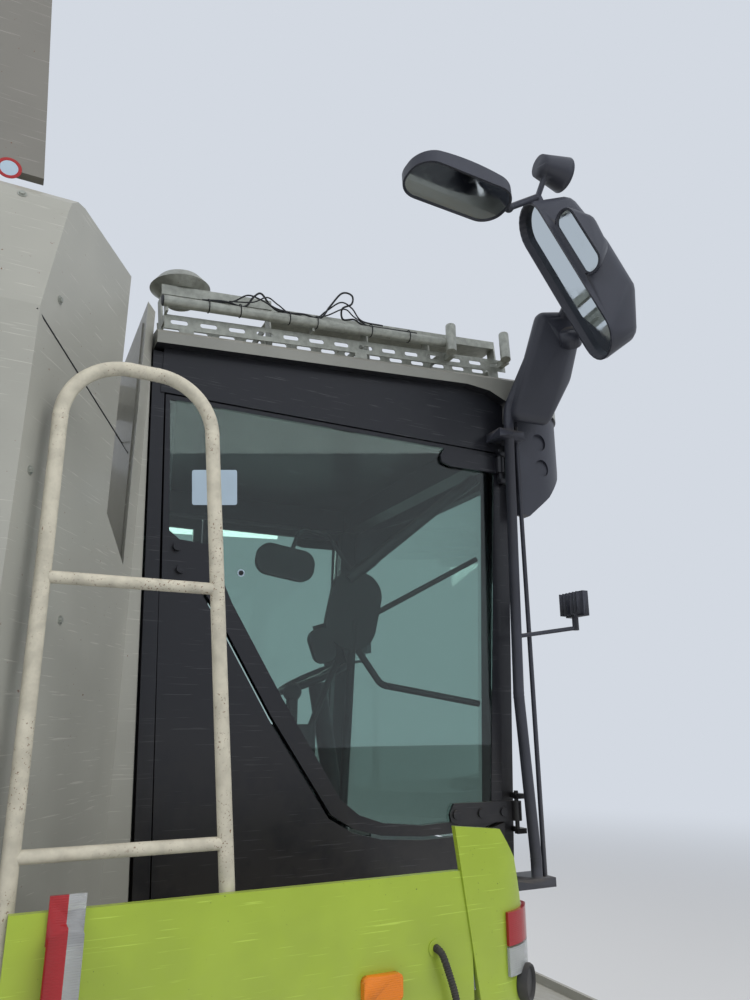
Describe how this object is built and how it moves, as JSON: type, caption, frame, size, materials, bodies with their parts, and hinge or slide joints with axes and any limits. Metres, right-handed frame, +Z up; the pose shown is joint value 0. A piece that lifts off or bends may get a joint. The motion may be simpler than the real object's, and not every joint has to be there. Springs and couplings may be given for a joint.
{
  "type": "combine harvester",
  "caption": "Self-propelled combine harvester without its header: glazed cab, grain tank with raised lids, stowed unloading tube, feeder house, steered rear wheels and straw chopper.",
  "frame": {"origin": "on the ground under the middle of the machine's box", "axes": "+X forward towards the feeder mouth, +Y the machine's left side, +Z up"},
  "size_m": [9.1, 3.3674, 5.08],
  "materials": {
    "green": "gloss, scratched",
    "grey_panel": "semi-gloss",
    "roof_grey": "semi-gloss",
    "chassis": "matt",
    "dark_steel": "rough",
    "worn_steel": "worn",
    "rod_chrome": "polished",
    "cab_black": "satin",
    "mirror_shell": "satin",
    "mirror_face": "mirror",
    "tinted_glass": "tinted",
    "rail_cream": "chipped",
    "seat_fabric": "woven",
    "trim_plastic": "grained",
    "lamp_lens": "clear",
    "tyre_rubber": "dusty",
    "rim_paint": "semi-gloss",
    "belt_rubber": "matt",
    "rack_metal": "dull"
  },
  "bodies": {
    "machine": {"frame": "chassis", "body_core": "green", "belt_drives": "belt_rubber", "engine_block": "dark_steel", "grain_tank": "grey_panel", "filling_auger": "worn_steel", "engine_deck": "chassis", "engine_hood": "green", "straw_hood": "green", "chopper": "chassis", "front_axle": "dark_steel", "rear_axle": "dark_steel", "cab_frame": "cab_black", "cab_glass": "tinted_glass", "cab_seat": "seat_fabric", "cab_controls": "trim_plastic", "cab_roof": "roof_grey", "roof_visor": "mirror_shell", "wiring": "belt_rubber", "antenna_rack": "rack_metal", "mirrors": "mirror_shell", "mirror_glass": "mirror_face", "platforms": "chassis", "handrails": "rail_cream", "side_skirts": "green", "lamps": "lamp_lens", "fuel_tank": "trim_plastic"},
    "front_wheel_left": {"front_tyre_left": "tyre_rubber", "front_rim_left": "rim_paint"},
    "front_wheel_right": {"front_tyre_right": "tyre_rubber", "front_rim_right": "rim_paint"},
    "rear_wheel_left": {"rear_tyre_left": "tyre_rubber", "rear_rim_left": "rim_paint"},
    "rear_wheel_right": {"rear_tyre_right": "tyre_rubber", "rear_rim_right": "rim_paint"},
    "knuckle_left": {"knuckle_left": "dark_steel"},
    "knuckle_right": {"knuckle_right": "dark_steel"},
    "tie_rod": {"tie_rod": "worn_steel"},
    "feeder": {"feeder_house": "grey_panel", "feeder_chain": "worn_steel"},
    "lift_barrels": {"lift_barrels": "chassis"},
    "lift_rods": {"lift_rods": "rod_chrome"},
    "door_left": {"door_left": "cab_black", "door_glass_left": "tinted_glass"},
    "window_right": {"window_right": "cab_black", "window_glass_right": "tinted_glass"},
    "side_panel_left": {"side_panel_left": "green"},
    "side_panel_right": {"side_panel_right": "green"},
    "tank_lid_left": {"tank_lid_left": "grey_panel"},
    "tank_lid_right": {"tank_lid_right": "grey_panel"},
    "unloading_tube": {"unloading_tube": "grey_panel"},
    "ladder": {"ladder": "worn_steel"},
    "radiator_screen": {"radiator_screen": "worn_steel"}
  },
  "joints": [
    {"name": "front_wheel_left_spin", "type": "hinge", "parent": "machine", "child": "front_wheel_left", "pos_m": [0.88, 1.3, 0.975], "axis": [0, 1, 0], "continuous": true},
    {"name": "front_wheel_right_spin", "type": "hinge", "parent": "machine", "child": "front_wheel_right", "pos_m": [0.88, -1.3, 0.975], "axis": [0, 1, 0], "continuous": true},
    {"name": "steer_left", "type": "hinge", "parent": "machine", "child": "knuckle_left", "pos_m": [-2.87, 0.905, 0.655], "axis": [0, 0, 1], "range_deg": [-40, 40]},
    {"name": "steer_right", "type": "hinge", "parent": "machine", "child": "knuckle_right", "pos_m": [-2.87, -0.905, 0.655], "axis": [0, 0, 1], "range_deg": [-40, 40]},
    {"name": "rear_wheel_left_spin", "type": "hinge", "parent": "knuckle_left", "child": "rear_wheel_left", "pos_m": [-2.87, 1.21, 0.655], "axis": [0, 1, 0], "continuous": true},
    {"name": "rear_wheel_right_spin", "type": "hinge", "parent": "knuckle_right", "child": "rear_wheel_right", "pos_m": [-2.87, -1.21, 0.655], "axis": [0, 1, 0], "continuous": true},
    {"name": "tie_rod_pivot", "type": "hinge", "parent": "knuckle_left", "child": "tie_rod", "pos_m": [-3.13, 0.905, 0.625], "axis": [0, 0, 1], "range_deg": [-40, 40]},
    {"name": "feeder_tilt", "type": "hinge", "parent": "machine", "child": "feeder", "pos_m": [2.035, 0, 1.33], "axis": [0, 1, 0], "range_deg": [-12, 4]},
    {"name": "barrel_tilt", "type": "hinge", "parent": "machine", "child": "lift_barrels", "pos_m": [1.56, 0, 0.82], "axis": [0, 1, 0], "range_deg": [-10, 4]},
    {"name": "rod_slide", "type": "slide", "parent": "lift_barrels", "child": "lift_rods", "axis": [0.9883, 0, -0.1528], "range_m": [-0.06, 0.13]},
    {"name": "door_left_hinge", "type": "hinge", "parent": "machine", "child": "door_left", "pos_m": [3.622, 0.953, 2.6], "axis": [0, 0, -1], "range_deg": [0, 75]},
    {"name": "window_right_hinge", "type": "hinge", "parent": "machine", "child": "window_right", "pos_m": [3.622, -0.953, 2.6], "axis": [0, 0, 1], "range_deg": [0, 75]},
    {"name": "side_panel_left_hinge", "type": "hinge", "parent": "machine", "child": "side_panel_left", "pos_m": [-1.7, 1.56, 1.985], "axis": [1, 0, 0], "range_deg": [0, 75]},
    {"name": "side_panel_right_hinge", "type": "hinge", "parent": "machine", "child": "side_panel_right", "pos_m": [-1.7, -1.56, 1.985], "axis": [-1, 0, 0], "range_deg": [0, 75]},
    {"name": "tank_lid_left_hinge", "type": "hinge", "parent": "machine", "child": "tank_lid_left", "pos_m": [0.38, 1.455, 3.9], "axis": [1, 0, 0], "range_deg": [0, 88]},
    {"name": "tank_lid_right_hinge", "type": "hinge", "parent": "machine", "child": "tank_lid_right", "pos_m": [0.38, -1.455, 3.9], "axis": [-1, 0, 0], "range_deg": [0, 88]},
    {"name": "unloading_swing", "type": "hinge", "parent": "machine", "child": "unloading_tube", "pos_m": [1.25, 1.42, 3.2], "axis": [0, 0, -1], "range_deg": [0, 100]},
    {"name": "ladder_fold", "type": "hinge", "parent": "machine", "child": "ladder", "pos_m": [2.58, 1.44, 1.675], "axis": [1, 0, 0], "range_deg": [0, 155]},
    {"name": "radiator_screen_spin", "type": "hinge", "parent": "machine", "child": "radiator_screen", "pos_m": [-2.56, -1.3, 2.88], "axis": [0, 1, 0], "continuous": true}
  ],
  "couplings": [
    {"joint": "steer_right", "follows": "steer_left", "ratio": 1},
    {"joint": "tie_rod_pivot", "follows": "steer_left", "ratio": -1},
    {"joint": "barrel_tilt", "follows": "feeder_tilt", "ratio": 0.7473},
    {"joint": "rod_slide", "follows": "feeder_tilt", "m_per_rad": -0.5545}
  ]
}
